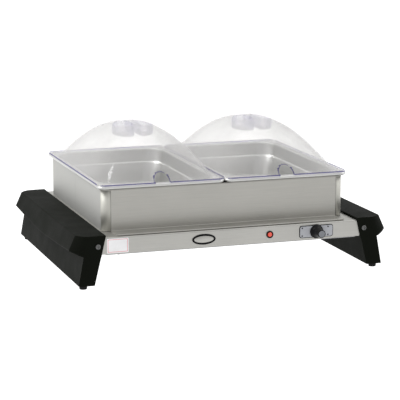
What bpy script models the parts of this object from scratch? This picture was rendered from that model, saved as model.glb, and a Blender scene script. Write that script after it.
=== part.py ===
"""Countertop twin-well buffet server: warming base, lift-off pan frame, two pans, two domed lids.

Metres, +Z up. +X is the user's right, -Y is the front (the control side). The origin is the centre
of the object's box at the surface it stands on.
"""
import math

import bmesh
import bpy
from mathutils import Matrix, Vector

# --------------------------------------------------------------------------------------------------
# Driving dimensions
# --------------------------------------------------------------------------------------------------
GAP = 0.0003                    # clearance between touching pieces
SHEET = 0.0012                  # stainless sheet

KNOB_REACH = 0.0360             # knob's length in front of the bezel
FACE_Y = 0.3210                 # base's front skirt, its outer face
BACK_Y = 0.2960                 # its rear skirt
GLAND_REACH = 0.0120            # how far the cord gland stands off the rear skirt
BEZEL_T = 0.0015                # control bezel's thickness
FRONT_Y = FACE_Y + BEZEL_T + 2 * GAP + KNOB_REACH
REAR_Y = BACK_Y + GLAND_REACH
CENTRE_SHIFT = (FRONT_Y - REAR_Y) / 2      # brings the whole box's middle to Y = 0

FOOT_H = 0.0100
FOOT_X = 0.3780
FOOT_IN = 0.0190                # a foot's centre, in from the leg's end
LEG_BOTTOM = FOOT_H + GAP
LEG_TOP = 0.1315
LEG_HALF = 0.3115               # half length of a leg along Y
LEG_MIDDLE = (BACK_Y - FACE_Y) / 2
LEG_IN_TOP = 0.3248             # inner wall's X at the top
LEG_IN_BOTTOM = 0.3540          # inner wall's X at the bottom
LEG_OUT_BOTTOM = 0.3939
LEG_RIDGE = 0.3950              # top face's outer edge
LEG_TIP = (0.4120, 0.0950)      # outermost line of the handle, X and Z
LEG_NECK = (0.3810, 0.0815)     # where the handle's underside meets the leg wall
LEG_SCREW_X = 0.3450
LEG_SCREW_Z = 0.1050
TURN_IN = 0.0300                # a handle's end turns back over this width
TURN_BACK = 0.0240              # and by this much at its outer face
HANDLE_STEPS = 24
BELLY_DROP = 0.0140             # how far the handle's lower edge dips in the middle
LEG_LEAN = (LEG_IN_BOTTOM - LEG_IN_TOP) / (LEG_TOP - LEG_BOTTOM)

TRAY_TOP = 0.1255
TRAY_BOTTOM = 0.0840
TRAY_LIP = 0.0180               # return lip under each skirt

FRAME_X = 0.3150                # frame's outer half width
FRAME_Y = 0.2590                # frame's outer half depth
FRAME_R = 0.0200                # frame's corner radius
FRAME_Z0 = TRAY_TOP + GAP
FRAME_Z1 = 0.2285
RAIL_T = 0.0015
FLANGE_FRONT = 0.0550           # foot flange in front of the frame's front panel
FLANGE_REAR = 0.0300            # and behind its rear panel
FLANGE_HEM = 0.0030

PAN_X = 0.1625                  # half width of one pan's place
PAN_Y = 0.2650                  # half depth of a pan
PAN_R = 0.0180                  # rim's corner radius
PAN_RIM_Z = 0.2380              # top of the pan's rim
PAN_DEPTH = 0.1000
PAN_WALL = 0.0010
PAN_BODY_X = 0.1460
PAN_BODY_Y = 0.2460
PAN_BODY_R = 0.0450
SHOULDER_DROP = 0.0350          # anti-jam shoulder below the rim

LID_GAP_X = 0.0004              # each lid and pan is this much short of its half of the width
LID_Z0 = PAN_RIM_Z + GAP
LID_RIM_T = 0.0032
LID_WALL = 0.0026
LID_HEIGHT = 0.1120             # dome above its rim
DOME_POWER = 3.1                # a contour's superellipse power at the crown
DOME_SQUARE = 1.7               # added to it at the rim
DOME_X = 0.1560                 # half width where the dome leaves the rim
DOME_Y = 0.2570
WELL_R = 0.0500                 # grip recess radius
WELL_DEPTH = 0.0300
BAR_HALF = 0.0100               # half width of the grip bar between the wells
NOTCH_R = 0.0195                # spoon notch radius

CONTROL_X = 0.2170
CONTROL_Z = 0.1045
LAMP_X = 0.0936
BADGE_X = -0.0777
LABEL_X = -0.2955
GLAND_X = 0.2200
KNOB_R = 0.0175
SHAFT_R = 0.0030


# --------------------------------------------------------------------------------------------------
# Scene, collections and materials
# --------------------------------------------------------------------------------------------------
for old in list(bpy.data.objects):
    bpy.data.objects.remove(old, do_unlink=True)

PARTS = bpy.data.collections.new("steam_table_unit")
CUTTERS = bpy.data.collections.new("cutters")
bpy.context.scene.collection.children.link(PARTS)
bpy.context.scene.collection.children.link(CUTTERS)


def empty(name, place):
    """An empty that carries a group of pieces."""
    holder = bpy.data.objects.new(name, None)
    holder.location = place
    PARTS.objects.link(holder)
    return holder


ROOT = empty("unit_frame", (0.0, CENTRE_SHIFT, 0.0))

SURFACES = {
    "stainless": ((0.62, 0.61, 0.58), 0.32, 1.0),
    "plain_steel": ((0.45, 0.45, 0.46), 0.45, 1.0),
    "black_plastic": ((0.022, 0.024, 0.022), 0.5, 0.0),
    "grey_plastic": ((0.30, 0.31, 0.33), 0.5, 0.0),
    "clear": ((0.90, 0.92, 0.95), 0.08, 0.0),
    "rubber": ((0.012, 0.012, 0.012), 0.8, 0.0),
    "red_lens": ((0.60, 0.03, 0.02), 0.15, 0.0),
    "label": ((0.86, 0.86, 0.85), 0.5, 0.0),
    "mica": ((0.62, 0.30, 0.12), 0.6, 0.0),
    "fibre": ((0.80, 0.79, 0.72), 0.9, 0.0),
    "ceramic": ((0.75, 0.73, 0.68), 0.6, 0.0),
    "wire_red": ((0.50, 0.04, 0.03), 0.5, 0.0),
    "wire_white": ((0.75, 0.75, 0.73), 0.5, 0.0),
}


def material(node, surface):
    """One Principled material for one piece."""
    colour, roughness, metallic = SURFACES[surface]
    made = bpy.data.materials.new(node + "_" + surface)
    made.use_nodes = True
    shader = made.node_tree.nodes["Principled BSDF"]
    shader.inputs["Base Color"].default_value = (*colour, 1.0)
    shader.inputs["Roughness"].default_value = roughness
    shader.inputs["Metallic"].default_value = metallic
    if surface == "clear":
        shader.inputs["Alpha"].default_value = 0.3
    return made


# --------------------------------------------------------------------------------------------------
# Making objects
# --------------------------------------------------------------------------------------------------
def put(name, mesh, surface, place=(0.0, 0.0, 0.0), parent=None):
    """Link a mesh as a named piece, or as a cutter when it has no surface."""
    piece = bpy.data.objects.new(name, mesh)
    piece.location = place
    piece.parent = parent or ROOT
    if surface is None:
        piece.hide_render = True
        piece.display_type = "WIRE"
        CUTTERS.objects.link(piece)
    else:
        mesh.materials.append(material(name, surface))
        PARTS.objects.link(piece)
    return piece


def finish_mesh(name, shape, smooth=False):
    """Turn a bmesh into mesh data with its faces pointing out."""
    bmesh.ops.recalc_face_normals(shape, faces=shape.faces)
    mesh = bpy.data.meshes.new(name)
    shape.to_mesh(mesh)
    shape.free()
    if smooth:
        mesh.shade_smooth()
        mesh.set_sharp_from_angle(angle=math.radians(40))
    return mesh


def box(name, surface, low, high, parent=None):
    """A rectangular block between two corners."""
    low, high = Vector(low), Vector(high)
    shape = bmesh.new()
    bmesh.ops.create_cube(shape, size=1.0, matrix=Matrix.Diagonal((*(high - low), 1.0)))
    return put(name, finish_mesh(name, shape), surface, (low + high) / 2, parent)


AXIS_TURN = {
    "Y": Matrix.Rotation(math.pi / 2, 4, "X"),
    "Z": Matrix.Identity(4),
}


def cylinder(name, surface, radius, length, centre, axis, segments=24, parent=None):
    """A round bar along Y or Z."""
    shape = bmesh.new()
    bmesh.ops.create_cone(
        shape, cap_ends=True, segments=segments, radius1=radius, radius2=radius,
        depth=length, matrix=AXIS_TURN[axis])
    return put(name, finish_mesh(name, shape, smooth=True), surface, centre, parent)


def turned(name, surface, profile, place, forward, steps=28, parent=None):
    """A profile of (radius, height) points turned about its axis, which then points forward."""
    shape = bmesh.new()
    points = [shape.verts.new((radius, 0.0, height)) for radius, height in profile]
    for first, second in zip(points, points[1:]):
        shape.edges.new((first, second))
    mesh = bpy.data.meshes.new(name)
    shape.to_mesh(mesh)
    shape.free()
    piece = put(name, mesh, surface, place, parent)
    piece.rotation_euler = Vector(forward).to_track_quat("Z", "Y").to_euler()
    turn = piece.modifiers.new("turn", "SCREW")
    turn.axis = "Z"
    turn.steps = steps
    turn.render_steps = steps
    turn.use_merge_vertices = True
    turn.merge_threshold = 0.00001
    turn.use_smooth_shade = True
    return piece


def prism(name, surface, outline, axis, low, high, place=(0.0, 0.0, 0.0), parent=None):
    """An outline of (first, second) points, extruded along axis from low to high."""
    def corner(first, second, along):
        if axis == "X":
            return (along, first, second)
        if axis == "Y":
            return (first, along, second)
        return (first, second, along)

    shape = bmesh.new()
    face = shape.faces.new([shape.verts.new(corner(*point, low)) for point in outline])
    grown = bmesh.ops.extrude_face_region(shape, geom=[face])["geom"]
    moved = [item for item in grown if isinstance(item, bmesh.types.BMVert)]
    bmesh.ops.translate(shape, verts=moved, vec=Vector(corner(0.0, 0.0, high - low)))
    return put(name, finish_mesh(name, shape, smooth=True), surface, place, parent)


def solidify(piece, thickness, offset=0.0):
    """Give an open sheet its thickness."""
    skin = piece.modifiers.new("sheet", "SOLIDIFY")
    skin.thickness = thickness
    skin.offset = offset
    skin.use_even_offset = True
    return piece


def boolean(piece, tool, operation="DIFFERENCE"):
    """Cut or join a piece with a tool object."""
    step = piece.modifiers.new(operation.lower(), "BOOLEAN")
    step.operation = operation
    step.solver = "EXACT"
    step.object = tool
    return piece


def strip(name, surface, rows, thickness, parent=None):
    """A bent sheet through rows of points, each row the same length."""
    shape = bmesh.new()
    made = [[shape.verts.new(point) for point in row] for row in rows]
    for upper, lower in zip(made, made[1:]):
        for index in range(len(upper) - 1):
            shape.faces.new((upper[index], upper[index + 1], lower[index + 1], lower[index]))
    return solidify(put(name, finish_mesh(name, shape), surface, parent=parent), thickness)


def tube(name, surface, points, radius, parent=None):
    """A wire through the points of a smooth curve, with capped ends."""
    curve = bpy.data.curves.new(name, "CURVE")
    curve.dimensions = "3D"
    curve.bevel_depth = radius
    curve.bevel_resolution = 2
    curve.use_fill_caps = True
    line = curve.splines.new("POLY")
    line.points.add(len(points) - 1)
    for knot, point in zip(line.points, points):
        knot.co = (*point, 1.0)
    return put(name, curve, surface, parent=parent)


def rounded_rectangle(half_x, half_y, radius, steps=6):
    """Points round a rectangle with round corners, anticlockwise."""
    points = []
    for quarter in range(4):
        sign_x = 1 if quarter in (0, 3) else -1
        sign_y = 1 if quarter in (0, 1) else -1
        for step in range(steps + 1):
            angle = math.radians(90) * (quarter + step / steps)
            points.append((
                sign_x * (half_x - radius) + radius * math.cos(angle),
                sign_y * (half_y - radius) + radius * math.sin(angle)))
    return points


def ring_stack(name, surface, rings, cap_first, cap_last, parent=None, place=(0.0, 0.0, 0.0)):
    """A skin through closed rings of equal length, with a flat cap where asked."""
    shape = bmesh.new()
    made = [[shape.verts.new(point) for point in ring] for ring in rings]
    count = len(made[0])
    for lower, upper in zip(made, made[1:]):
        for index in range(count):
            after = (index + 1) % count
            shape.faces.new((lower[index], lower[after], upper[after], upper[index]))
    if cap_first:
        shape.faces.new(made[0])
    if cap_last:
        shape.faces.new(made[-1])
    return put(name, finish_mesh(name, shape, smooth=True), surface, place, parent)


# --------------------------------------------------------------------------------------------------
# Base: tray, legs, feet, cover
# --------------------------------------------------------------------------------------------------
def leg_inner_x(height):
    """The leg's inner wall at a height."""
    return LEG_IN_TOP + (LEG_TOP - height) * LEG_LEAN


COVER_SCREWS = [(x, y) for y in (0.0130 - FACE_Y, BACK_Y - 0.0130) for x in (-0.2900, 0.2900)]


def make_tray():
    """Warming plate bent down into both skirts, its ends slanting with the legs."""
    half = SHEET / 2
    side = [
        (TRAY_LIP, TRAY_BOTTOM + half),
        (0.0010, TRAY_BOTTOM + half),
        (0.0, TRAY_BOTTOM + half + 0.0010),
        (0.0, TRAY_TOP - half - 0.0025),
        (0.0008, TRAY_TOP - half - 0.0008),
        (0.0025, TRAY_TOP - half),
    ]
    path = [(inset - FACE_Y + half, z) for inset, z in side]
    path += [(BACK_Y - half - inset, z) for inset, z in reversed(side)]
    rows = []
    for y, z in path:
        reach = leg_inner_x(z) - 2 * GAP - 0.0004
        rows.append([(-reach, y, z), (reach, y, z)])
    tray = strip("base_tray", "stainless", rows, SHEET)
    for name, radius, x in (("shaft", 0.0050, CONTROL_X), ("lamp", 0.0076, LAMP_X)):
        hole = cylinder("cut_skirt_" + name, None, radius, 0.02, (x, -FACE_Y, CONTROL_Z), "Y")
        boolean(tray, hole)
    boolean(tray, cylinder("cut_skirt_gland", None, 0.0085, 0.02, (GLAND_X, BACK_Y, CONTROL_Z), "Y"))
    for index, (x, y) in enumerate(COVER_SCREWS):
        hole = cylinder("cut_lip_%d" % index, None, 0.0026, 0.02, (x, y, TRAY_BOTTOM), "Z", 12)
        boolean(tray, hole)
    return tray


def make_cover():
    """Bottom cover under the return lips, held by four screws."""
    top = TRAY_BOTTOM - GAP
    outline = rounded_rectangle(0.3250, (FACE_Y + BACK_Y) / 2 - 0.0020, 0.0040, steps=2)
    outline = [(x, y + (BACK_Y - FACE_Y) / 2) for x, y in outline]
    cover = prism("bottom_cover", "plain_steel", outline, "Z", top - SHEET, top)
    for index, (x, y) in enumerate(COVER_SCREWS):
        hole = cylinder("cut_cover_%d" % index, None, 0.0026, 0.02, (x, y, top), "Z", 12)
        boolean(cover, hole)
        turned("cover_screw_%d" % (index + 1), "plain_steel", [
            (0.0, 0.0105), (0.0022, 0.0105), (0.0022, 0.0), (0.0046, 0.0),
            (0.0044, -0.0014), (0.0030, -0.0024), (0.0, -0.0026)],
            (x, y, top - SHEET - GAP), (0, 0, 1), steps=14)
    return cover


def handle_section(y):
    """The handle's cross section at a place along it, each point with its share of the end's turn."""
    belly = BELLY_DROP * (1 - abs(y / LEG_HALF) ** 1.3)
    tip = Vector((LEG_TIP[0], LEG_TIP[1] - belly))
    ridge = Vector((LEG_RIDGE, LEG_TOP))
    neck = Vector(LEG_NECK)
    inner_top = Vector((ridge.x - TURN_IN, LEG_TOP))
    shares = (0.0, 0.4, 0.7, 1.0)
    section = [
        (LEG_IN_TOP, LEG_TOP, 0.0),
        (leg_inner_x(LEG_NECK[1]), LEG_NECK[1] - 0.0030, 0.0)]
    section += [(*neck.lerp(tip, share), share) for share in shares]
    section += [(*inner_top.lerp(ridge, share), share) for share in reversed(shares)]
    return section


def make_leg(name, side):
    """End leg and handle: leaning wall, and an overhanging grip with turned-back ends and a belly."""
    shape = bmesh.new()
    rows = []
    for step in range(HANDLE_STEPS + 1):
        along = 2 * step / HANDLE_STEPS - 1
        section = handle_section(along * LEG_HALF)
        rows.append([
            shape.verts.new((side * x, LEG_MIDDLE + along * (LEG_HALF - TURN_BACK * share ** 2), z))
            for x, z, share in section])
    count = len(rows[0])
    for lower, upper in zip(rows, rows[1:]):
        for index in range(count):
            after = (index + 1) % count
            shape.faces.new((lower[index], lower[after], upper[after], upper[index]))
    for row in (rows[0], rows[-1]):
        shape.faces.new((row[0], row[1], row[2], row[-1]))
        for index in range(2, count // 2):
            shape.faces.new((row[index], row[index + 1], row[-index], row[1 - index]))
    leg = put(name, finish_mesh(name, shape, smooth=True), "black_plastic")
    wall = [
        (LEG_IN_TOP, LEG_TOP), (LEG_IN_BOTTOM, LEG_BOTTOM), (LEG_OUT_BOTTOM, LEG_BOTTOM), LEG_NECK,
        (LEG_IN_TOP + 0.0350, LEG_NECK[1] + 0.0120), (LEG_IN_TOP + 0.0300, LEG_TOP)]
    low, high = LEG_MIDDLE - LEG_HALF, LEG_MIDDLE + LEG_HALF
    core = prism("cut_wall_" + name, None, [(side * x, z) for x, z in wall], "Y", low, high)
    boolean(leg, core, "UNION")
    for end, y in (("front", low), ("rear", high)):
        bore = cylinder("cut_bore_%s_%s" % (name, end), None, 0.0029, 0.05,
                        (side * LEG_SCREW_X, y, LEG_SCREW_Z), "Y", 14)
        boolean(leg, bore)


def make_leg_screw(name, x, end):
    """Pan-head screw in a leg's end face, its head outside."""
    turned(name, "plain_steel", [
        (0.0, -0.0200), (0.0025, -0.0200), (0.0025, 0.0), (0.0064, 0.0),
        (0.0062, 0.0014), (0.0048, 0.0028), (0.0024, 0.0034), (0.0, 0.0035)][::-1],
        (x, LEG_MIDDLE + end * (LEG_HALF + GAP), LEG_SCREW_Z), (0, end, 0), steps=18)


def make_foot(name, x, y):
    """Tapered rubber foot."""
    turned(name, "rubber", [
        (0.0, FOOT_H), (0.0105, FOOT_H), (0.0105, FOOT_H - 0.0015), (0.0092, 0.0010),
        (0.0082, 0.0), (0.0, 0.0)], (x, y, 0.0), (0, 0, 1), steps=20)


# --------------------------------------------------------------------------------------------------
# Controls on the front skirt
# --------------------------------------------------------------------------------------------------
def make_controls():
    """Bezel, indicator lamp, badge, label, and the knob with its shaft."""
    skin = -FACE_Y - GAP
    bezel = prism("control_bezel", "grey_plastic", rounded_rectangle(0.0450, 0.0155, 0.0060, 4),
                  "Y", skin - BEZEL_T, skin, (CONTROL_X, 0.0, CONTROL_Z))
    boolean(bezel, cylinder("cut_bezel", None, 0.0050, 0.02, (CONTROL_X, -FACE_Y, CONTROL_Z), "Y"))
    turned("indicator_body", "black_plastic", [
        (0.0, 0.0012), (0.0058, 0.0012), (0.0062, 0.0026), (0.0086, 0.0026), (0.0093, 0.0014),
        (0.0093, 0.0), (0.0070, 0.0), (0.0070, -0.0240), (0.0, -0.0240)],
        (LAMP_X, skin, CONTROL_Z), (0, -1, 0), steps=24)
    turned("indicator_lens", "red_lens", [
        (0.0, 0.0062), (0.0022, 0.0059), (0.0042, 0.0048), (0.0054, 0.0030),
        (0.0055, 0.0015), (0.0, 0.0015)], (LAMP_X, skin, CONTROL_Z), (0, -1, 0), steps=24)
    oval = [(0.0300 * math.cos(math.radians(a)), 0.0132 * math.sin(math.radians(a)))
            for a in range(0, 360, 10)]
    prism("badge_plate", "black_plastic", oval, "Y", skin - 0.0012, skin, (BADGE_X, 0.0, CONTROL_Z))
    prism("blank_label", "label", rounded_rectangle(0.0270, 0.0180, 0.0020, 3),
          "Y", skin - 0.0004, skin, (LABEL_X, 0.0, CONTROL_Z))

    axis = empty("knob_axis", (CONTROL_X, skin - BEZEL_T - GAP, CONTROL_Z))
    axis.parent = ROOT
    reach = KNOB_REACH
    knob = turned("thermostat_knob", "black_plastic", [
        (0.0, reach - 0.0016), (0.0088, reach - 0.0016), (0.0088, reach), (0.0096, reach),
        (0.0104, reach - 0.0014), (0.0122, 0.0085), (0.0135, 0.0050), (0.0168, 0.0030),
        (KNOB_R, 0.0020), (KNOB_R, 0.0), (0.0033, 0.0), (0.0033, 0.0203), (0.0, 0.0203)],
        (0.0, 0.0, 0.0), (0, -1, 0), steps=32, parent=axis)
    pointer = box("cut_pointer", None, (-0.0009, -0.0270, 0.0060), (0.0009, -0.0060, 0.0126), axis)
    boolean(knob, pointer, "UNION")
    cylinder("knob_cap", "grey_plastic", 0.0085, 0.0010, (0.0, -reach + 0.0016 - 0.0008, 0.0), "Y",
             28, parent=axis)
    cylinder("thermostat_shaft", "plain_steel", SHAFT_R, 0.0290, (0.0, 0.0145 - 0.0200, 0.0), "Y",
             16, parent=axis)


# --------------------------------------------------------------------------------------------------
# Inside the base
# --------------------------------------------------------------------------------------------------
def make_inside():
    """Heater, insulation, thermostat, lamp wiring, terminal block and the rear gland."""
    plate = TRAY_TOP - SHEET - GAP
    box("heating_pad", "mica", (-0.285, -0.235, plate - 0.003), (0.285, 0.235, plate))
    top = plate - 0.003 - GAP
    box("insulation_blanket", "fibre", (-0.290, -0.240, top - 0.014), (0.290, 0.240, top))
    top -= 0.014 + GAP
    box("retainer_plate", "plain_steel", (-0.295, -0.245, top - 0.001), (0.295, 0.245, top))
    under = top - 0.001 - GAP
    inner_face = -FACE_Y + SHEET + GAP
    bracket = prism("thermostat_bracket", "plain_steel", [
        (inner_face, 0.0900), (inner_face, 0.1190), (inner_face + 0.0012, 0.1190),
        (inner_face + 0.0012, 0.0912), (inner_face + 0.0350, 0.0912), (inner_face + 0.0350, 0.0900)],
        "X", CONTROL_X - 0.022, CONTROL_X + 0.022)
    hole = cylinder("cut_bracket", None, 0.0050, 0.02, (CONTROL_X, -FACE_Y, CONTROL_Z), "Y")
    boolean(bracket, hole)
    body_y = inner_face + 0.0012 + GAP
    body = box("thermostat_body", "ceramic", (CONTROL_X - 0.018, body_y, 0.0915),
               (CONTROL_X + 0.018, body_y + 0.032, 0.1190))
    shaft_end = FRONT_Y - KNOB_REACH - 0.0290 + 0.0200
    boolean(body, cylinder("cut_body", None, 0.0036, 2 * (FACE_Y - shaft_end + 0.0006),
                           (CONTROL_X, -FACE_Y, CONTROL_Z), "Y"))
    turned("high_limit_switch", "ceramic", [
        (0.0, 0.0), (0.0110, 0.0), (0.0110, -0.0030), (0.0080, -0.0030), (0.0080, -0.0105),
        (0.0, -0.0105)], (0.06, 0.0, under), (0, 0, 1), steps=20)
    box("terminal_block", "ceramic", (0.1150, 0.2450, 0.0852), (0.1750, 0.2690, 0.1020))
    turned("cord_gland", "black_plastic", [
        (0.0042, 0.0120), (0.0070, 0.0120), (0.0086, 0.0050), (0.0118, 0.0040), (0.0120, 0.0003),
        (0.0080, 0.0003), (0.0080, -0.0100), (0.0042, -0.0100), (0.0042, 0.0120)],
        (GLAND_X, BACK_Y, CONTROL_Z), (0, 1, 0), steps=24)
    make_wires(body_y)


def smooth_route(knots, count):
    """Points along a Catmull-Rom curve through the knots."""
    line = [Vector(knot) for knot in knots]
    line = [2 * line[0] - line[1]] + line + [2 * line[-1] - line[-2]]
    spans = len(line) - 3
    points = []
    for index in range(count):
        where = index / (count - 1) * spans
        start = min(int(where), spans - 1)
        t = where - start
        a, b, c, d = line[start:start + 4]
        points.append(0.5 * (2 * b + (c - a) * t + (2 * a - 5 * b + 4 * c - d) * t ** 2
                             + (3 * b - a - 3 * c + d) * t ** 3))
    return points


def make_wires(body_y):
    """Four short leads between the electrical pieces."""
    back = body_y + 0.0325
    low = 0.0910
    routes = {
        "thermostat_lead": ("wire_red", [
            (CONTROL_X + 0.006, back, 0.0950), (CONTROL_X + 0.012, back + 0.03, low),
            (0.2500, -0.1000, low), (0.2500, 0.1500, low), (0.2000, 0.2570, low),
            (0.1765, 0.2570, 0.0930)]),
        "lamp_lead": ("wire_white", [
            (LAMP_X, -FACE_Y + 0.0255, 0.1045), (LAMP_X + 0.004, -0.2780, 0.0960),
            (0.1300, -0.2600, low), (CONTROL_X - 0.03, -0.2560, low),
            (CONTROL_X - 0.008, -0.2650, low), (CONTROL_X - 0.008, back, 0.0960)]),
        "heater_lead": ("wire_white", [
            (0.0702, 0.0, 0.0960), (0.0850, 0.0200, low), (0.1000, 0.1500, low),
            (0.1250, 0.2200, low), (0.1300, 0.2440, 0.0925)]),
        "limit_lead": ("wire_red", [
            (0.0498, 0.0, 0.0960), (0.0350, -0.0300, low), (0.0900, -0.1600, low),
            (0.1750, -0.2200, low), (CONTROL_X, -0.2450, 0.0920),
            (CONTROL_X, back, 0.0970)]),
    }
    for name, (surface, knots) in routes.items():
        tube(name, surface, smooth_route(knots, 22), 0.0014)


# --------------------------------------------------------------------------------------------------
# Pan frame
# --------------------------------------------------------------------------------------------------
def make_frame():
    """Lift-off skirt that carries the pans: panels, corner posts, support rail and divider."""
    half = SHEET / 2
    top = FRAME_Z1 - RAIL_T - GAP
    bottom = FRAME_Z0 + half
    inner_x = FRAME_X - FRAME_R - GAP
    wall = FRAME_Y - half
    for face, end, flange in (("front", -1, FLANGE_FRONT), ("rear", 1, FLANGE_REAR)):
        path = [
            (wall, top), (wall, bottom + 0.0015), (wall + 0.0004, bottom + 0.0004),
            (wall + 0.0015, bottom), (wall + flange, bottom), (wall + flange, bottom + FLANGE_HEM)]
        rows = [[(-inner_x, end * y, z), (inner_x, end * y, z)] for y, z in path]
        strip("frame_%s_panel" % face, "stainless", rows, SHEET)

    lap = 0.0150
    edge = FRAME_Y - FRAME_R - GAP
    for hand, side in (("left", -1), ("right", 1)):
        outer = side * (FRAME_X - half)
        tucked = side * (FRAME_X - half - SHEET - GAP)
        front = [(outer, -edge), (outer, 0.0)]
        rear = [(tucked, -lap), (tucked, 0.0004), (outer, 0.0040), (outer, edge)]
        for part, path in (("front", front), ("rear", rear)):
            rows = [[(x, y, FRAME_Z0), (x, y, top)] for x, y in path]
            strip("frame_%s_panel_%s" % (hand, part), "stainless", rows, SHEET)

    arc_r = FRAME_R - half
    for end, sign_y in (("front", -1), ("rear", 1)):
        for hand, sign_x in (("left", -1), ("right", 1)):
            rows = []
            for step in range(9):
                angle = math.radians(90) * step / 8
                x = sign_x * (FRAME_X - FRAME_R + arc_r * math.sin(angle))
                y = sign_y * (FRAME_Y - FRAME_R + arc_r * math.cos(angle))
                rows.append([(x, y, FRAME_Z0 + 0.0025), (x, y, top)])
            post = strip("frame_corner_%s_%s" % (end, hand), "stainless", rows, SHEET)
            post.data.shade_smooth()

    outline = rounded_rectangle(FRAME_X, FRAME_Y, FRAME_R, 6)
    rail = prism("pan_support_rail", "stainless", outline, "Z", FRAME_Z1 - RAIL_T, FRAME_Z1)
    hole = rounded_rectangle(PAN_BODY_X + 0.0022, PAN_BODY_Y + 0.0022, PAN_BODY_R, 6)
    for hand, side in (("left", -1), ("right", 1)):
        cutter = prism("cut_rail_" + hand, None, hole, "Z", 0.20, 0.26, (side * PAN_X, 0.0, 0.0))
        boolean(rail, cutter)

    channel_top = FRAME_Z1 - RAIL_T - GAP - half
    path = [(-0.0125, channel_top - 0.0140), (-0.0125, channel_top - 0.0010),
            (-0.0115, channel_top), (0.0115, channel_top), (0.0125, channel_top - 0.0010),
            (0.0125, channel_top - 0.0140)]
    reach = FRAME_Y - SHEET - GAP
    rows = [[(x, -reach, z), (x, reach, z)] for x, z in path]
    strip("frame_divider", "stainless", rows, SHEET)


# --------------------------------------------------------------------------------------------------
# Pans
# --------------------------------------------------------------------------------------------------
def make_pan(name, side):
    """Full-size steam pan: rolled rim, anti-jam shoulder, tapered walls, rounded bottom."""
    half = PAN_WALL / 2
    rim = PAN_RIM_Z - half
    rim_x = PAN_X - LID_GAP_X - half
    rim_y = PAN_Y - LID_GAP_X - half
    roll = 0.0036
    rings = []

    def ring(inset, height, radius, inset_y=None):
        grown_y = inset if inset_y is None else inset_y
        outline = rounded_rectangle(rim_x - inset, rim_y - grown_y, radius, 7)
        rings.append([(x, y, height) for x, y in outline])

    for step in range(6):
        angle = math.radians(-150 + 240 * step / 5)
        ring(roll - roll * math.cos(angle), rim - roll + roll * math.sin(angle),
             PAN_R - roll + roll * math.cos(angle))
    body_x = rim_x - PAN_BODY_X
    body_y = rim_y - PAN_BODY_Y
    step_in = 0.0045
    shoulder = PAN_RIM_Z - SHOULDER_DROP
    floor = PAN_RIM_Z - PAN_DEPTH + half
    ring(body_x - 0.0030, rim, PAN_BODY_R - 0.0060, body_y - 0.0030)
    ring(body_x - 0.0006, rim - 0.0010, PAN_BODY_R, body_y - 0.0006)
    ring(body_x + half, rim - 0.0035, PAN_BODY_R, body_y + half)
    ring(body_x + 0.0014, shoulder, PAN_BODY_R, body_y + 0.0014)
    ring(body_x + step_in, shoulder - 0.0035, PAN_BODY_R, body_y + step_in)
    ring(body_x + 0.0130, floor + 0.0140, PAN_BODY_R, body_y + 0.0130)
    ring(body_x + 0.0165, floor + 0.0045, PAN_BODY_R, body_y + 0.0165)
    ring(body_x + 0.0270, floor, PAN_BODY_R - 0.0080, body_y + 0.0270)
    pan = ring_stack(name, "stainless", rings, False, True, place=(side * PAN_X, 0.0, 0.0))
    return solidify(pan, PAN_WALL)


# --------------------------------------------------------------------------------------------------
# Lids
# --------------------------------------------------------------------------------------------------
def dome_height(share):
    """Height above the rim, as a share of the crown's, at a share of the way out to the rim."""
    return max(1.0 - share ** 2.39, 0.0) ** 1.10


def dome_ring(half_x, half_y, share, height, count=40):
    """One contour of the dome: squarish at the rim, rounder towards the crown."""
    power = DOME_POWER + DOME_SQUARE * share ** 1.5
    points = []
    for step in range(count):
        angle = 2 * math.pi * step / count
        c, s = math.cos(angle), math.sin(angle)
        reach = (abs(c) ** power + abs(s) ** power) ** (-1 / power)
        points.append((half_x * share * reach * c, half_y * share * reach * s, height))
    return points


DOME_SHARES = (1.0, 0.95, 0.88, 0.79, 0.69, 0.58, 0.46, 0.33, 0.20, 0.09)


def superellipse_rim(half_x, half_y, radius, height, count=40):
    """The rim's rounded rectangle, sampled at the same angles as the dome's rings."""
    points = []
    for step in range(count):
        angle = 2 * math.pi * step / count
        c, s = math.cos(angle), math.sin(angle)
        power = DOME_POWER + DOME_SQUARE
        reach = (abs(c) ** power + abs(s) ** power) ** (-1 / power)
        x, y = half_x * reach * c, half_y * reach * s
        spread = max(abs(x) / half_x, abs(y) / half_y)
        x, y = x / spread, y / spread
        core_x = max(abs(x) - (half_x - radius), 0.0)
        core_y = max(abs(y) - (half_y - radius), 0.0)
        if core_x > 0 and core_y > 0:
            scale = radius / math.hypot(core_x, core_y)
            if scale < 1:
                x = math.copysign(half_x - radius + core_x * scale, x)
                y = math.copysign(half_y - radius + core_y * scale, y)
        points.append((x, y, height))
    return points


def half_disc(side, radius, bar_half, steps=12):
    """Plan of one finger well: a disc cut straight beside the grip bar."""
    start = math.acos(bar_half / radius)
    points = []
    for step in range(steps + 1):
        angle = -start + 2 * start * step / steps
        points.append((side * radius * math.cos(angle), radius * math.sin(angle)))
    return points


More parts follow.
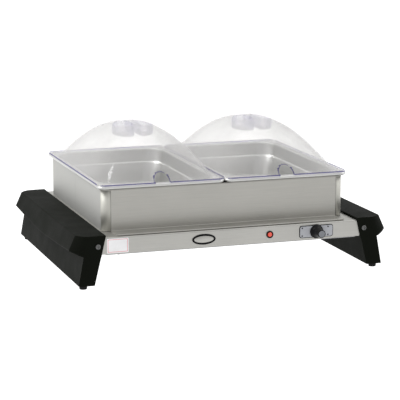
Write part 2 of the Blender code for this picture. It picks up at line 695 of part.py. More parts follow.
def make_lid(name, side):
    """Clear domed lid with a turned-out rim, two finger wells beside a grip bar, and a spoon notch."""
    place = (side * PAN_X, 0.0, 0.0)
    rim_x = PAN_X - LID_GAP_X
    rim_y = PAN_Y - LID_GAP_X
    rim_top = LID_Z0 + LID_RIM_T
    crown = rim_top + LID_HEIGHT
    rings = [
        superellipse_rim(rim_x, rim_y, PAN_R, LID_Z0),
        superellipse_rim(rim_x, rim_y, PAN_R, rim_top)]
    inner = [dome_ring(DOME_X - LID_WALL, DOME_Y - LID_WALL, 1.0, LID_Z0 - 0.01)]
    for share in DOME_SHARES:
        rise = LID_HEIGHT * dome_height(share)
        rings.append(dome_ring(DOME_X, DOME_Y, share, rim_top + rise))
        height = rim_top + rise - LID_WALL
        inner.append(dome_ring(DOME_X - LID_WALL, DOME_Y - LID_WALL, share, height))
    lid = ring_stack(name, "clear", rings, True, True, place=place)
    hollow = ring_stack("cut_hollow_" + name, None, inner, True, True, place=place)
    floor = crown - 0.0015 - WELL_DEPTH
    for hand, way in (("left", -1), ("right", 1)):
        label = "%s_%s" % (name, hand)
        plan = half_disc(way, WELL_R, BAR_HALF)
        well = prism("cut_well_" + label, None, plan, "Z", floor, crown + 0.02, place)
        boolean(lid, well)
        plan = half_disc(way, WELL_R + LID_WALL, BAR_HALF - LID_WALL)
        cup = prism("cut_cup_" + label, None, plan, "Z", floor - LID_WALL, crown + 0.02, place)
        boolean(hollow, cup)
    boolean(lid, hollow)
    notch = cylinder("cut_notch_" + name, None, NOTCH_R, 0.09,
                     (side * PAN_X, -PAN_Y + 0.0100, LID_Z0 + 0.0030), "Y", 28)
    boolean(lid, notch)
    return lid


# --------------------------------------------------------------------------------------------------
# Assembly
# --------------------------------------------------------------------------------------------------
make_tray()
make_cover()
for hand, side in (("left", -1), ("right", 1)):
    make_leg("leg_" + hand, side)
    for end, way in (("front", -1), ("rear", 1)):
        foot_y = LEG_MIDDLE + way * (LEG_HALF - FOOT_IN)
        make_foot("foot_%s_%s" % (end, hand), side * FOOT_X, foot_y)
        make_leg_screw("leg_screw_%s_%s" % (end, hand), side * LEG_SCREW_X, way)
make_controls()
make_inside()
make_frame()
for hand, side in (("left", -1), ("right", 1)):
    make_pan("pan_" + hand, side)
    make_lid("lid_" + hand, side)
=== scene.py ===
import math

import bmesh
import bpy
from mathutils import Matrix, Vector


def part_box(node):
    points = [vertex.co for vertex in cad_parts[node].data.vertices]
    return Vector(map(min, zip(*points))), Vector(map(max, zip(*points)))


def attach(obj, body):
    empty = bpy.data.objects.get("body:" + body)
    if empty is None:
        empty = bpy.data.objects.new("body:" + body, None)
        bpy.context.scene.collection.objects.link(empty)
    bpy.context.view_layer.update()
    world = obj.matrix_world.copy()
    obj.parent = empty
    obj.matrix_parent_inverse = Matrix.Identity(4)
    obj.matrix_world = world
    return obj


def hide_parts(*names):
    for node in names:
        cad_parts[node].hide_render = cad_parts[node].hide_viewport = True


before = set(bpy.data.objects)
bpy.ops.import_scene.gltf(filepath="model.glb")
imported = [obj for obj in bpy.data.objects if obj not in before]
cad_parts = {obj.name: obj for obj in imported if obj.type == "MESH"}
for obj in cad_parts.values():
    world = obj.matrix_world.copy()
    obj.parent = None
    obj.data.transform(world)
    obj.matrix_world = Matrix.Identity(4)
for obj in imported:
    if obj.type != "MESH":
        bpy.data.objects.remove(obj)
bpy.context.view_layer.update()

# --------------------------------------------------------------------------------------------------
# Camera
# --------------------------------------------------------------------------------------------------
CAMERA_PLACE = (-1.3973, -4.1947, 1.0192)
CAMERA_AZIMUTH = -18.565
CAMERA_ELEVATION = 11.230
CAMERA_LENS = 155.875
CAMERA_SENSOR = 36.0

lens = bpy.data.cameras.new("camera")
lens.lens = CAMERA_LENS
lens.sensor_width = CAMERA_SENSOR
lens.clip_end = 100.0
camera = bpy.data.objects.new("camera", lens)
camera.location = CAMERA_PLACE
camera.rotation_euler = (math.radians(90 - CAMERA_ELEVATION), 0.0, math.radians(CAMERA_AZIMUTH))
bpy.context.scene.collection.objects.link(camera)
bpy.context.scene.camera = camera

# --------------------------------------------------------------------------------------------------
# Places, read from the frame
# --------------------------------------------------------------------------------------------------
GAP = 0.0003
LID = {hand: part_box("lid_" + hand) for hand in ("left", "right")}
PAN = {hand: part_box("pan_" + hand) for hand in ("left", "right")}
LEG = {hand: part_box("leg_" + hand) for hand in ("left", "right")}
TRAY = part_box("base_tray")
FRAME_LOW, FRAME_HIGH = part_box("frame_front_panel")[0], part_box("frame_rear_panel")[1]
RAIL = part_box("pan_support_rail")
MIDDLE_Y = (PAN["left"][0].y + PAN["left"][1].y) / 2
PAN_CENTRE = {hand: (box[0].x + box[1].x) / 2 for hand, box in PAN.items()}
SIDES = (("left", -1), ("right", 1))
ENDS = (("front", -1), ("rear", 1))


# --------------------------------------------------------------------------------------------------
# Shader building
# --------------------------------------------------------------------------------------------------
class Shade:
    """The nodes of a material or a world, and short ways to add to them."""

    def __init__(self, owner, output="ShaderNodeOutputMaterial"):
        owner.use_nodes = True
        self.owner = owner
        self.tree = owner.node_tree
        self.tree.nodes.clear()
        self.output = self.tree.nodes.new(output)
        self.places = self.tree.nodes.new("ShaderNodeTexCoord").outputs

    def add(self, kind, values, **settings):
        """A node with its inputs set, or linked where a value is another node's output."""
        made = self.tree.nodes.new(kind)
        for key, value in settings.items():
            setattr(made, key, value)
        for key, value in values.items():
            if isinstance(value, bpy.types.NodeSocket):
                self.tree.links.new(value, made.inputs[key])
            else:
                made.inputs[key].default_value = value
        return made

    def noise(self, scale, detail, roughness, stretch=(1, 1, 1)):
        """Noise with a size per metre, stretched along the axes."""
        mapping = self.add("ShaderNodeMapping", {"Vector": self.places["Object"], "Scale": stretch})
        texture = self.add("ShaderNodeTexNoise", {
            "Vector": mapping.outputs[0], "Scale": scale, "Detail": detail, "Roughness": roughness})
        return texture.outputs["Fac"]

    def remap(self, value, low, high, start=0.3, end=0.7):
        """The value from start to end turned into low to high."""
        return self.add("ShaderNodeMapRange", {
            "Value": value, "From Min": start, "From Max": end, "To Min": low, "To Max": high,
        }).outputs["Result"]

    def blend(self, share, first, second):
        """A value that lies between two others."""
        return self.add("ShaderNodeMix", {"Factor": share, "A": first, "B": second}).outputs["Result"]

    def maths(self, operation, first, second):
        """Two values joined by an operation."""
        return self.add("ShaderNodeMath", {0: first, 1: second}, operation=operation).outputs[0]

    def ramp(self, value, stops):
        """Colours along a value."""
        node = self.add("ShaderNodeValToRGB", {"Fac": value})
        band = node.color_ramp
        while len(band.elements) < len(stops):
            band.elements.new(0.5)
        for element, (place, colour) in zip(band.elements, stops):
            element.position = place
            element.color = (*colour, 1.0)
        return node.outputs["Color"]

    def bump(self, height, strength, distance):
        """A normal tilted by a height."""
        return self.add("ShaderNodeBump", {
            "Height": height, "Strength": strength, "Distance": distance}).outputs["Normal"]

    def mix(self, share, first, second):
        """Two shaders mixed."""
        return self.add("ShaderNodeMixShader", {
            "Fac": share, 1: first.outputs[0], 2: second.outputs[0]})

    def finish(self, shader):
        """Put a shader on the output."""
        self.tree.links.new(shader.outputs[0], self.output.inputs["Surface"])
        return self.owner

    def principled(self, **values):
        """Put a Principled shader on the output."""
        named = {key.replace("_", " "): value for key, value in values.items()}
        return self.finish(self.add("ShaderNodeBsdfPrincipled", named))


def tint(colour, share):
    """A colour made lighter or darker."""
    return tuple(channel * share for channel in colour)


# --------------------------------------------------------------------------------------------------
# Materials
# --------------------------------------------------------------------------------------------------
GRAIN_STRETCH = 0.012           # a brushed grain's scale along its length
FINE_GRAIN = 2600.0
BROAD_GRAIN = 420.0
STEEL_CLOUDS = 9.0


def brushed_steel(name, along, colour, roughness, grain=1.0, smudge=0.12, stretch_gloss=0.0):
    """Sheet stainless with a grain along one axis, faint smudges and uneven polish."""
    shade = Shade(bpy.data.materials.new(name))
    stretch = tuple(GRAIN_STRETCH if axis == along else 1 for axis in "XYZ")
    fine = shade.noise(FINE_GRAIN, 2.0, 0.6, stretch)
    broad = shade.noise(BROAD_GRAIN, 3.0, 0.6, tuple(min(1, 2 * part) for part in stretch))
    both = shade.blend(0.60, fine, broad)
    mottle = shade.blend(0.35, both, shade.noise(STEEL_CLOUDS, 4.0, 0.55))
    tone = shade.ramp(mottle, [
        (0.30, tint(colour, 1 - smudge)), (0.50, colour), (0.70, tint(colour, 1 + smudge))])
    polish = shade.remap(mottle, roughness - 0.06, roughness + 0.07)
    normal = shade.bump(both, 0.16 * grain, 0.0003)
    return shade.principled(Base_Color=tone, Metallic=1.0, Roughness=polish, Normal=normal,
                            Anisotropic=stretch_gloss)


def moulded_plastic(name, colour, roughness, specular, grit=900.0, depth=0.12, gloss_tint=(1, 1, 1)):
    """Moulded plastic with a fine texture and slightly uneven gloss."""
    shade = Shade(bpy.data.materials.new(name))
    cloud = shade.noise(14.0, 4.0, 0.6)
    fine = shade.noise(grit, 2.0, 0.6)
    tone = shade.ramp(cloud, [(0.30, tint(colour, 0.88)), (0.55, colour), (0.75, tint(colour, 1.14))])
    polish = shade.remap(cloud, roughness - 0.05, roughness + 0.06)
    normal = shade.bump(fine, depth, 0.0004)
    return shade.principled(Base_Color=tone, Roughness=polish, Normal=normal,
                            Specular_IOR_Level=specular, Specular_Tint=(*gloss_tint, 1.0))


def clear_plastic(name, haze, rim_haze, colour, through, roughness=0.06, mirror=(0.035, 0.34)):
    """Clear moulded sheet: mostly see-through, whiter at a slant, with a thin gloss."""
    shade = Shade(bpy.data.materials.new(name))
    slant = shade.add("ShaderNodeLayerWeight", {"Blend": 0.35}).outputs["Facing"]
    cloud = shade.noise(22.0, 4.0, 0.6)
    share = shade.remap(slant, haze, rim_haze, 0.15, 1.0)
    milky = shade.maths("MULTIPLY", share, shade.remap(cloud, 0.85, 1.15))
    tone = shade.ramp(cloud, [(0.30, tint(colour, 0.97)), (0.70, colour)])
    clear = shade.add("ShaderNodeBsdfTransparent", {"Color": (*through, 1.0)})
    front = shade.add("ShaderNodeBsdfDiffuse", {"Color": tone})
    back = shade.add("ShaderNodeBsdfTranslucent", {"Color": tone})
    body = shade.mix(milky, clear, shade.mix(0.5, front, back))
    normal = shade.bump(shade.noise(35.0, 2.0, 0.5), 0.06, 0.002)
    gloss = shade.add("ShaderNodeBsdfGlossy", {
        "Color": (0.98, 0.98, 0.99, 1.0), "Roughness": roughness, "Normal": normal})
    graze = shade.add("ShaderNodeLayerWeight", {"Blend": 0.5, "Normal": normal}).outputs["Facing"]
    steep = shade.maths("POWER", graze, 4.0)
    return shade.finish(shade.mix(shade.remap(steep, *mirror, 0.0, 1.0), body, gloss))


def lamp_red():
    """Faceted red lens, deeper in tone at its edge."""
    shade = Shade(bpy.data.materials.new("lamp_red"))
    slant = shade.add("ShaderNodeLayerWeight", {"Blend": 0.4}).outputs["Facing"]
    cells = shade.add("ShaderNodeTexVoronoi", {
        "Vector": shade.places["Object"], "Scale": 520.0}).outputs["Distance"]
    tone = shade.ramp(slant, [
        (0.0, (0.85, 0.10, 0.05)), (0.6, (0.60, 0.02, 0.015)), (1.0, (0.25, 0.01, 0.01))])
    normal = shade.bump(cells, 0.5, 0.0008)
    return shade.principled(Base_Color=tone, Roughness=0.12, Normal=normal, Coat_Weight=0.6,
                            Emission_Color=tone, Emission_Strength=0.12)


def speckled(name, first, second, roughness):
    """A two-tone surface for pieces inside the base."""
    shade = Shade(bpy.data.materials.new(name))
    spots = shade.noise(300.0, 4.0, 0.6)
    tone = shade.ramp(spots, [(0.35, first), (0.65, second)])
    normal = shade.bump(spots, 0.2, 0.0005)
    return shade.principled(Base_Color=tone, Roughness=roughness, Normal=normal)


STEEL_FRONT = brushed_steel("steel_front", "X", (0.490, 0.482, 0.452), 0.46, stretch_gloss=0.3)
STEEL_SIDE = brushed_steel("steel_side", "Y", (0.53, 0.53, 0.51), 0.60, grain=0.3, smudge=0.03)
STEEL_POST = brushed_steel("steel_post", "Z", (0.62, 0.615, 0.57), 0.60, grain=0.5)
STEEL_TRAY = brushed_steel("steel_tray", "X", (0.50, 0.494, 0.468), 0.44)
STEEL_PAN = brushed_steel("steel_pan", "Y", (0.67, 0.67, 0.66), 0.36, grain=0.4, smudge=0.03)
STEEL_PLAIN = brushed_steel("steel_plain", "X", (0.42, 0.42, 0.43), 0.42)
STEEL_SCREW = brushed_steel("steel_screw", "X", (0.17, 0.17, 0.17), 0.45)
BLACK_LEG = moulded_plastic("black_leg", (0.0045, 0.0054, 0.0038), 0.60, 0.045,
                            gloss_tint=(0.97, 1.0, 0.88))
BLACK_GLOSS = moulded_plastic("black_gloss", (0.004, 0.004, 0.005), 0.32, 0.14)
# dark print on the rivets and badge ring; it also paints the shadow line round the control plate
BLACK_PRINT_AND_SHADE = moulded_plastic("black_print_and_shade", (0.004, 0.004, 0.005), 0.50, 0.12)
GREY_PLATE = moulded_plastic("grey_plate", (0.42, 0.43, 0.46), 0.45, 0.4)
GREY_CAP = moulded_plastic("grey_cap", (0.21, 0.22, 0.24), 0.40, 0.4)
RUBBER = moulded_plastic("rubber", (0.010, 0.010, 0.010), 0.75, 0.2, 500.0, 0.25)
CARD = moulded_plastic("card", (0.95, 0.95, 0.96), 0.40, 0.35, 300.0, 0.05)
PINK_LINE = moulded_plastic("pink_line", (0.82, 0.30, 0.33), 0.40, 0.35)
CLEAR_LID = clear_plastic("clear_lid", 0.020, 0.46, (0.80, 0.79, 0.78), (0.986, 0.985, 0.984),
                          mirror=(0.030, 0.30))
CLEAR_WELL = clear_plastic("clear_well", 0.03, 0.50, (0.56, 0.55, 0.66), (0.960, 0.958, 0.972), 0.10)
CLEAR_EDGE = clear_plastic("clear_edge", 0.80, 0.92, (0.085, 0.075, 0.24), (0.80, 0.80, 0.92), 0.15)
LAMP_RED = lamp_red()

KEPT_NODES = {                  # CAD nodes that stay, and their materials
    "heating_pad": speckled("mica", (0.45, 0.20, 0.08), (0.66, 0.34, 0.15), 0.6),
    "insulation_blanket": speckled("fibre", (0.70, 0.69, 0.62), (0.85, 0.84, 0.78), 0.95),
    "thermostat_body": speckled("ceramic_a", (0.68, 0.66, 0.60), (0.78, 0.76, 0.70), 0.6),
    "high_limit_switch": speckled("ceramic_b", (0.66, 0.64, 0.60), (0.76, 0.74, 0.70), 0.6),
    "terminal_block": speckled("ceramic_c", (0.70, 0.68, 0.62), (0.80, 0.78, 0.72), 0.55),
    "thermostat_lead": speckled("wire_red", (0.42, 0.03, 0.025), (0.55, 0.05, 0.04), 0.5),
    "limit_lead": speckled("wire_red_b", (0.42, 0.03, 0.025), (0.55, 0.05, 0.04), 0.5),
    "lamp_lead": speckled("wire_white", (0.70, 0.70, 0.68), (0.80, 0.80, 0.78), 0.5),
    "heater_lead": speckled("wire_white_b", (0.70, 0.70, 0.68), (0.80, 0.80, 0.78), 0.5),
    "retainer_plate": STEEL_PLAIN,
    "thermostat_bracket": STEEL_PLAIN,
    "thermostat_shaft": STEEL_SCREW,
    "bottom_cover": STEEL_PLAIN,
    "cord_gland": BLACK_GLOSS,
    "pan_support_rail": STEEL_FRONT,
    "frame_divider": STEEL_FRONT,
    **{"cover_screw_%d" % index: STEEL_SCREW for index in range(1, 5)},
}


# --------------------------------------------------------------------------------------------------
# Mesh building
# --------------------------------------------------------------------------------------------------
PAST = 0.01                     # how far a cutting tool reaches past what it cuts


def linked(name, mesh):
    """An object in the scene for a mesh."""
    made = bpy.data.objects.new(name, mesh)
    bpy.context.scene.collection.objects.link(made)
    return made


def piece(name, mesh, body, materials, stands_for=(), place=(0.0, 0.0, 0.0)):
    """A named visible piece that rides on a body."""
    made = linked(name, mesh)
    made.location = place
    for item in materials:
        mesh.materials.append(item)
    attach(made, body)
    if stands_for:
        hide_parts(*stands_for)
    return made


def smooth(mesh, sharp):
    """Smooth shading, broken where faces meet at more than an angle."""
    mesh.shade_smooth()
    mesh.set_sharp_from_angle(angle=math.radians(sharp))
    return mesh


def to_mesh(name, shape, sharp=35):
    """Mesh data from a bmesh, with outward faces."""
    bmesh.ops.recalc_face_normals(shape, faces=shape.faces)
    mesh = bpy.data.meshes.new(name)
    shape.to_mesh(mesh)
    shape.free()
    return smooth(mesh, sharp)


def rings_shape(rings, cap_first=True):
    """A skin through closed rings of equal length, closed at its end and usually at its start."""
    shape = bmesh.new()
    made = [[shape.verts.new(point) for point in ring] for ring in rings]
    count = len(made[0])
    for lower, upper in zip(made, made[1:]):
        for index in range(count):
            after = (index + 1) % count
            shape.faces.new((lower[index], lower[after], upper[after], upper[index]))
    if cap_first:
        shape.faces.new(made[0])
    shape.faces.new(made[-1])
    return shape


def sheet_shape(rows):
    """An open sheet through rows of points."""
    shape = bmesh.new()
    made = [[shape.verts.new(point) for point in row] for row in rows]
    for upper, lower in zip(made, made[1:]):
        for index in range(len(upper) - 1):
            shape.faces.new((upper[index], upper[index + 1], lower[index + 1], lower[index]))
    return shape


def prism_shape(outline, start, end):
    """An outline in X and Z extruded along Y."""
    return rings_shape([[(x, y, z) for x, z in outline] for y in (start, end)])


def plate_shape(outline, centre, start, end):
    """An outline about a centre, extruded over distances in front of it."""
    return prism_shape([(centre.x + x, centre.z + z) for x, z in outline], centre.y - end,
                       centre.y - start)


def pointing(place, forward):
    """The transform that takes +Z at the origin to a direction at a place."""
    return Matrix.Translation(place) @ Vector(forward).to_track_quat("Z", "Y").to_matrix().to_4x4()


def turned_shape(profile, place, forward, steps=48, ribs=0, rib_depth=0.0):
    """A profile of (radius, height) points turned about an axis that points forward.

    A third number in a point is the share of the ribs' depth that is cut there.
    """
    turn = pointing(place, forward)
    rings = []
    for radius, height, *ribbed in profile:
        ring = []
        for step in range(steps):
            angle = 2 * math.pi * step / steps
            groove = rib_depth * sum(ribbed) * (1 - math.cos(ribs * angle)) / 2
            reach = radius - groove
            ring.append(turn @ Vector((reach * math.cos(angle), reach * math.sin(angle), height)))
        rings.append(ring)
    return rings_shape(rings)


def cut(shape):
    """A cutting step for shaped(), with a tool that is removed once it has been used."""
    return "DIFFERENCE", linked("tool", to_mesh("tool", shape))


def drill(place, forward, radius, steps, half_length=PAST):
    """A round cutting step through a place."""
    return cut(turned_shape([(radius, -half_length), (radius, half_length)], place, forward, steps))


def shaped(name, shape, steps, sharp=35):
    """Mesh data after Booleans with (operation, tool) and bevels with (width, segments, angle)."""
    made = linked(name, to_mesh(name, shape, sharp))
    tools = []
    for step in steps:
        if isinstance(step[0], str):
            change = made.modifiers.new("cut", "BOOLEAN")
            change.operation, change.object = step
            change.solver = "EXACT"
            tools.append(change.object)
        else:
            change = made.modifiers.new("edge", "BEVEL")
            change.width, change.segments = step[0], step[1]
            change.limit_method = "ANGLE"
            change.angle_limit = math.radians(step[2])
            change.use_clamp_overlap = True
            change.miter_outer = "MITER_ARC"
    bpy.context.view_layer.update()
    evaluated = made.evaluated_get(bpy.context.evaluated_depsgraph_get())
    mesh = bpy.data.meshes.new_from_object(evaluated)
    mesh.name = name
    for used in [made, *tools]:
        bpy.data.objects.remove(used, do_unlink=True)
    mesh.materials.clear()
    return smooth(mesh, sharp)


def flat_faces(made):
    """Keep large flat faces flat in the shading beside small rounded edges."""
    weighting = made.modifiers.new("shading", "WEIGHTED_NORMAL")
    weighting.mode = "FACE_AREA"
    weighting.weight = 50
    weighting.keep_sharp = True
    return made


def thick(made, thickness):
    """Give an open sheet its thickness, half on each side."""
    skin = made.modifiers.new("sheet", "SOLIDIFY")
    skin.thickness = thickness
    skin.offset = 0.0
    skin.use_even_offset = True
    return made


def rounded_rectangle(half_x, half_y, radius, steps):
    """Points round a rectangle with round corners, anticlockwise from +X."""
    points = []
    for quarter in range(4):
        sign_x = 1 if quarter in (0, 3) else -1
        sign_y = 1 if quarter in (0, 1) else -1
        for step in range(steps + 1):
            angle = math.radians(90) * (quarter + step / steps)
            points.append((
                sign_x * (half_x - radius) + radius * math.cos(angle),
                sign_y * (half_y - radius) + radius * math.sin(angle)))
    return points


def oval(half_x, half_z, count=72):
    """Points round an ellipse."""
    angles = [2 * math.pi * step / count for step in range(count)]
    return [(half_x * math.cos(angle), half_z * math.sin(angle)) for angle in angles]


def round_path(points, radii, steps=5):
    """A path of 2D points with its inner corners rounded."""
    path = [Vector(points[0])]
    for before, here, after, radius in zip(points, points[1:], points[2:], radii):
        before, here, after = Vector(before), Vector(here), Vector(after)
        into, out = (before - here).normalized(), (after - here).normalized()
        half = into.angle(out) / 2
        reach = min(radius / math.tan(half), 0.48 * (before - here).length, 0.48 * (after - here).length)
        start, end = here + into * reach, here + out * reach
        for step in range(steps + 1):
            t = step / steps
            path.append((1 - t) ** 2 * start + 2 * t * (1 - t) * here + t ** 2 * end)
    path.append(Vector(points[-1]))
    return path


def round_loop(points, radii, steps):
    """A closed 2D outline with its corners rounded."""
    closed = [points[-1], *points, points[0]]
    return round_path(closed, radii, steps)[1:-1]


def front_plate(node):
    """The middle of a node's rear face, and its half width, half height and depth."""
    low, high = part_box(node)
    centre = Vector(((low.x + high.x) / 2, high.y, (low.z + high.z) / 2))
    return centre, (high.x - low.x) / 2, (high.z - low.z) / 2, high.y - low.y


# --------------------------------------------------------------------------------------------------
# Lids
# --------------------------------------------------------------------------------------------------
LID_RIM_T = 0.0032
LID_WALL = 0.0024
LID_FLANGE = 0.0061             # rim's edge to the dome's foot, in X
LID_FLANGE_Y = 0.0076
LID_CORNER = 0.0180
RIM_PROFILE = (                 # (inset, height) up the rim's edge
    (0.0004, 0.0), (0.0, 0.0005), (0.0, LID_RIM_T - 0.0008), (0.0003, LID_RIM_T - 0.0002),
    (0.0008, LID_RIM_T))
LID_COUNT = 144                 # points round a ring
LID_SHARES = 30                 # contours from the dome's foot to its crown
DOME_REACH = 0.97               # share of the way to the crown that they cover
DOME_POWER = 3.1                # a contour's superellipse power at the crown
DOME_SQUARE = 1.7               # added to it at the rim
DOME_FALL = 2.39
DOME_ROUND = 1.10
WELL_R = 0.0500
WELL_DEPTH = 0.0315             # below the crown
WELL_CORNER = 0.0090
WELL_FILLET = 0.0050
BAR_HALF = 0.0100
NOTCH_R = 0.0195
NOTCH_Y = 0.0100                # its centre, in from the rim's front edge
NOTCH_Z = 0.0030
NOTCH_REACH = 0.045             # how far its tool reaches to the front and the rear
CLEAR_SLOTS = [CLEAR_LID, CLEAR_EDGE, CLEAR_WELL]


def dome_height(share):
    """Height above the rim, as a share of the crown's."""
    return max(1.0 - share ** DOME_FALL, 0.0) ** DOME_ROUND


def dome_ring(half_x, half_y, share, height):
    """One contour of the dome: squarish at the rim, rounder towards the crown."""
    power = DOME_POWER + DOME_SQUARE * share ** 1.5
    points = []
    for step in range(LID_COUNT):
        angle = 2 * math.pi * step / LID_COUNT
        c, s = math.cos(angle), math.sin(angle)
        reach = (abs(c) ** power + abs(s) ** power) ** (-1 / power)
        points.append((half_x * share * reach * c, half_y * share * reach * s, height))
    return points


def rim_ring(half_x, half_y, radius, height):
    """A rounded rectangle, sampled at the same angles as the dome's rings."""
    points = []
    for x, y, _ in dome_ring(half_x, half_y, 1.0, 0.0):
        spread = max(abs(x) / half_x, abs(y) / half_y)
        x, y = x / spread, y / spread
        core_x = max(abs(x) - (half_x - radius), 0.0)
        core_y = max(abs(y) - (half_y - radius), 0.0)
        reach = math.hypot(core_x, core_y)
        if core_x > 0 and core_y > 0 and reach > radius:
            x = math.copysign(half_x - radius + core_x * radius / reach, x)
            y = math.copysign(half_y - radius + core_y * radius / reach, y)
        points.append((x, y, height))
    return points


def well_outline(way, radius, bar_half, corner, steps=10):
    """Plan of one finger well: a disc cut straight beside the grip bar, with round corners."""
    centre_x = bar_half + corner
    centre_y = math.sqrt((radius - corner) ** 2 - centre_x ** 2)
    turn = math.atan2(centre_y, centre_x)
    points = []
    for step in range(2 * steps + 1):
        angle = turn * (step / steps - 1)
        points.append((radius * math.cos(angle), radius * math.sin(angle)))
    for sign, start, end in ((1, turn, math.pi), (-1, math.pi, 2 * math.pi - turn)):
        for step in range(1, steps + (sign > 0)):
            angle = start + (end - start) * step / steps
            points.append((centre_x + corner * math.cos(angle), sign * centre_y + corner * math.sin(angle)))
    return [(way * x, y) for x, y in points]


def well_shape(way, grow, floor, top):
    """A finger well as a solid, grown outwards for the cup's outside."""
    rings = []
    for step in range(7):
        angle = math.radians(90) * step / 6
        inset = WELL_FILLET * (1 - math.sin(angle)) - grow
        outline = well_outline(way, WELL_R - inset, BAR_HALF + inset, WELL_CORNER - inset * 0.6)
        rings.append([(x, y, floor - grow + WELL_FILLET * (1 - math.cos(angle))) for x, y in outline])
    outline = well_outline(way, WELL_R + grow + 0.0015, BAR_HALF - grow - 0.0010, WELL_CORNER + 0.6 * grow)
    rings.append([(x, y, top) for x, y in outline])
    return rings_shape(rings)


def finish_lid_faces(mesh, half_x, half_y, floor):
    """Give the rim's edge, the notch and the wells' upright walls their own clear materials."""
    for face in mesh.polygons:
        point = face.center
        core_x, core_y = abs(point.x) - half_x + LID_CORNER, abs(point.y) - half_y + LID_CORNER
        corner = core_x > 0 and core_y > 0
        out = (math.hypot(core_x, core_y) if corner else max(core_x, core_y)) - LID_CORNER
        at_rim = point.z < LID_RIM_T and out > -0.0009
        from_notch = math.hypot(point.x, point.z - NOTCH_Z)
        at_notch = abs(from_notch - NOTCH_R) < 0.0004 and point.y < -half_y / 2
        in_well = math.hypot(point.x, point.y) < WELL_R + LID_WALL + 0.0005 and point.z > floor - LID_WALL
        if at_rim or at_notch:
            face.material_index = CLEAR_SLOTS.index(CLEAR_EDGE)
        elif in_well and abs(face.normal.z) < 0.5:
            face.material_index = CLEAR_SLOTS.index(CLEAR_WELL)


def make_lid(hand):
    """Clear domed lid with a turned-out rim, two finger wells beside a grip bar, and a spoon notch."""
    low, high = LID[hand]
    half_x, half_y = (high.x - low.x) / 2, (high.y - low.y) / 2
    centre = Vector(((low.x + high.x) / 2, (low.y + high.y) / 2, low.z))
    crown = high.z - low.z
    foot_x, foot_y = half_x - LID_FLANGE, half_y - LID_FLANGE_Y
    outer = [rim_ring(half_x - inset, half_y - inset, LID_CORNER, height) for inset, height in RIM_PROFILE]
    inner = [dome_ring(foot_x - LID_WALL, foot_y - LID_WALL, 1.0, -PAST)]
    for step in range(LID_SHARES + 1):
        share = 1.0 - DOME_REACH * step / LID_SHARES
        height = LID_RIM_T + (crown - LID_RIM_T) * dome_height(share)
        outer.append(dome_ring(foot_x, foot_y, share, height))
        inner.append(dome_ring(foot_x - LID_WALL, foot_y - LID_WALL, share, height - LID_WALL))
    floor = crown - WELL_DEPTH
    above = crown + 2 * PAST
    wells = [cut(well_shape(way, 0.0, floor, above)) for way in (-1, 1)]
    cups = [cut(well_shape(way, LID_WALL, floor, above)) for way in (-1, 1)]
    hollow = linked("hollow", shaped("hollow", rings_shape(inner), cups))
    notch = drill((0.0, low.y - centre.y + NOTCH_Y, NOTCH_Z), (0, 1, 0), NOTCH_R, 64, NOTCH_REACH)
    steps = [*wells, ("DIFFERENCE", hollow), notch]
    name = "lid_%s_clear" % hand
    mesh = shaped(name, rings_shape(outer), steps, sharp=40)
    piece(name, mesh, "lid_%s_body" % hand, CLEAR_SLOTS, ["lid_" + hand], centre)
    finish_lid_faces(mesh, half_x, half_y, floor)


# --------------------------------------------------------------------------------------------------
# Pans
# --------------------------------------------------------------------------------------------------
PAN_WALL = 0.0010
PAN_INSET_X = 0.0161            # rim's edge to the pan's wall
PAN_INSET_Y = 0.0186
PAN_CORNER = 0.0180
PAN_BODY_CORNER = 0.0450
PAN_ROLL = 0.0036
SHOULDER_DROP = 0.0350
WALL_TAPER = 0.0130             # how far the wall comes in down to the cove
COVE_R = 0.0140
COVE_RISE = 0.0150
COVE_TURN = math.radians(84)


def make_pan(hand):
    """Full-size steam pan: rolled rim, flat flange, anti-jam shoulder, tapered walls, coved floor."""
    low, high = PAN[hand]
    half = PAN_WALL / 2
    rim_x, rim_y = (high.x - low.x) / 2 - half, (high.y - low.y) / 2 - half
    rim = high.z - half
    floor = low.z + half
    shoulder = high.z - SHOULDER_DROP
    rings = []

    def ring(inset_x, inset_y, height, radius):
        outline = rounded_rectangle(rim_x - inset_x, rim_y - inset_y, radius, 14)
        rings.append([(x, y, height) for x, y in outline])

    def wall_ring(inset, height, trim):
        ring(PAN_INSET_X + inset, PAN_INSET_Y + inset, height, PAN_BODY_CORNER - trim)

    for step in range(11):
        angle = math.radians(-150 + 240 * step / 10)
        inset = PAN_ROLL - PAN_ROLL * math.cos(angle)
        ring(inset, inset, rim - PAN_ROLL + PAN_ROLL * math.sin(angle), PAN_CORNER - inset)
    for inset, height, trim in (
            (-0.0034, rim, 0.0060), (-0.0024, rim - 0.0001, 0.0040), (-0.0008, rim - 0.0008, 0.0010),
            (0.0001, rim - 0.0022, 0.0), (0.0005, rim - 0.0040, 0.0), (0.0012, shoulder + 0.0010, 0.0),
            (0.0018, shoulder - 0.0004, 0.0), (0.0040, shoulder - 0.0026, 0.0),
            (0.0046, shoulder - 0.0040, 0.0), (WALL_TAPER, floor + COVE_RISE, 0.0)):
        wall_ring(inset, height, trim)
    for step in range(1, 8):
        angle = COVE_TURN * step / 7
        wall_ring(WALL_TAPER + COVE_R * (1 - math.cos(angle)),
                  floor + COVE_RISE - COVE_RISE * math.sin(angle) / math.sin(COVE_TURN),
                  0.0080 * step / 7)
    mesh = to_mesh("pan_" + hand, rings_shape(rings, cap_first=False), 30)
    made = piece("pan_%s_steel" % hand, mesh, "pan_%s_body" % hand, [STEEL_PAN],
                 ["pan_" + hand], (PAN_CENTRE[hand], MIDDLE_Y, 0.0))
    thick(made, PAN_WALL)


